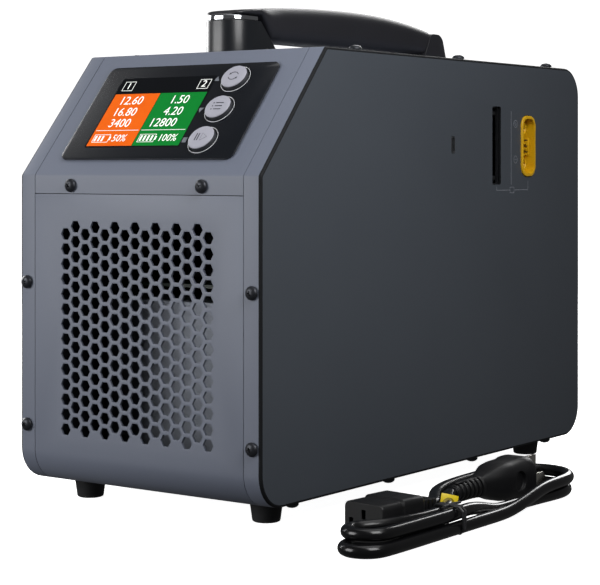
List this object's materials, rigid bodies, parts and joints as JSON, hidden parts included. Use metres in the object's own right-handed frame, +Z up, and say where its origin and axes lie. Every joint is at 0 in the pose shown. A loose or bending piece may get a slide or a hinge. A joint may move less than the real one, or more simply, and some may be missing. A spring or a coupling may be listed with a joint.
{
  "type": "balance battery charger",
  "caption": "Bench balance battery charger in a sheet-metal case with a sloped screen console, grille, carrying handle, side sockets and a loose mains lead.",
  "frame": {"origin": "middle of the case's footprint, on the surface that the feet stand on", "axes": "+X to the charger's right side, -Y out of the front grille, +Z up; +Y runs along the case towards the fans and mains inlet"},
  "size_m": [0.2174, 0.3188, 0.2431],
  "materials": {
    "shell_paint": "fine satin powder coat, blue grey",
    "cover_paint": "fine satin powder coat, dark grey",
    "screw_steel": "blackened steel",
    "foot_rubber": "matt black",
    "overlay_film": "semi-gloss black film",
    "display_glass": "glossy glass",
    "button_cap": "satin grey",
    "circuit_board": "solder mask",
    "handle_plastic": "fine grained black",
    "trim_chrome": "polished",
    "socket_yellow": "moulded nylon",
    "socket_black": "moulded nylon",
    "usb_steel": "tin plated",
    "fan_plastic": "moulded",
    "supply_steel": "galvanised",
    "heatsink_alloy": "extruded",
    "cord_rubber": "smooth black sheath",
    "tag_yellow": "printed film"
  },
  "bodies": {
    "case": {"lower_shell": "shell_paint", "upper_shell": "shell_paint", "rear_panel": "cover_paint", "side_cover_left": "cover_paint", "side_cover_right": "cover_paint", "console_overlay": "overlay_film", "display_module": "display_glass", "control_board": "circuit_board", "handle_foot_front": "handle_plastic", "handle_foot_rear": "handle_plastic", "handle_grip": "handle_plastic", "handle_trim": "trim_chrome", "power_socket_left": "socket_yellow", "power_socket_right": "socket_yellow", "balance_socket_left": "socket_black", "balance_socket_right": "socket_black", "usb_socket": "usb_steel", "mains_inlet": "socket_black", "fan_frame_left": "fan_plastic", "fan_frame_right": "fan_plastic", "power_supply_case": "supply_steel", "supply_board": "circuit_board", "charge_board": "circuit_board", "heatsink": "heatsink_alloy", "appliance_connector": "cord_rubber", "mains_plug": "cord_rubber", "cord_hank": "cord_rubber", "cord_tie": "cord_rubber", "cord_tag": "tag_yellow", "foot_front_left": "foot_rubber", "foot_front_right": "foot_rubber", "foot_rear_left": "foot_rubber", "foot_rear_right": "foot_rubber", "screw_front_left_1": "screw_steel", "screw_front_left_2": "screw_steel", "screw_top_left_1": "screw_steel", "screw_top_left_2": "screw_steel", "screw_top_left_3": "screw_steel", "screw_bottom_left_1": "screw_steel", "screw_bottom_left_2": "screw_steel", "screw_bottom_left_3": "screw_steel", "screw_bottom_left_4": "screw_steel", "screw_console_left": "screw_steel", "screw_front_right_1": "screw_steel", "screw_front_right_2": "screw_steel", "screw_top_right_1": "screw_steel", "screw_top_right_2": "screw_steel", "screw_top_right_3": "screw_steel", "screw_bottom_right_1": "screw_steel", "screw_bottom_right_2": "screw_steel", "screw_bottom_right_3": "screw_steel", "screw_bottom_right_4": "screw_steel", "screw_console_right": "screw_steel", "screw_belly": "screw_steel"},
    "button_1": {"button_1": "button_cap"},
    "button_2": {"button_2": "button_cap"},
    "button_3": {"button_3": "button_cap"},
    "fan_rotor_left": {"fan_rotor_left": "fan_plastic"},
    "fan_rotor_right": {"fan_rotor_right": "fan_plastic"}
  },
  "joints": [
    {"name": "button_1_press", "type": "slide", "parent": "case", "child": "button_1", "axis": [0, 0.7629, -0.6465], "range_m": [0, 0.0008], "stiffness_N_per_m": 400, "springref_m": -0.0008},
    {"name": "button_2_press", "type": "slide", "parent": "case", "child": "button_2", "axis": [0, 0.7629, -0.6465], "range_m": [0, 0.0008], "stiffness_N_per_m": 400, "springref_m": -0.0008},
    {"name": "button_3_press", "type": "slide", "parent": "case", "child": "button_3", "axis": [0, 0.7629, -0.6465], "range_m": [0, 0.0008], "stiffness_N_per_m": 400, "springref_m": -0.0008},
    {"name": "fan_left_spin", "type": "hinge", "parent": "case", "child": "fan_rotor_left", "pos_m": [-0.0307, 0.136, 0.15], "axis": [0, 1, 0], "continuous": true},
    {"name": "fan_right_spin", "type": "hinge", "parent": "case", "child": "fan_rotor_right", "pos_m": [0.0307, 0.136, 0.15], "axis": [0, 1, 0], "continuous": true}
  ]
}
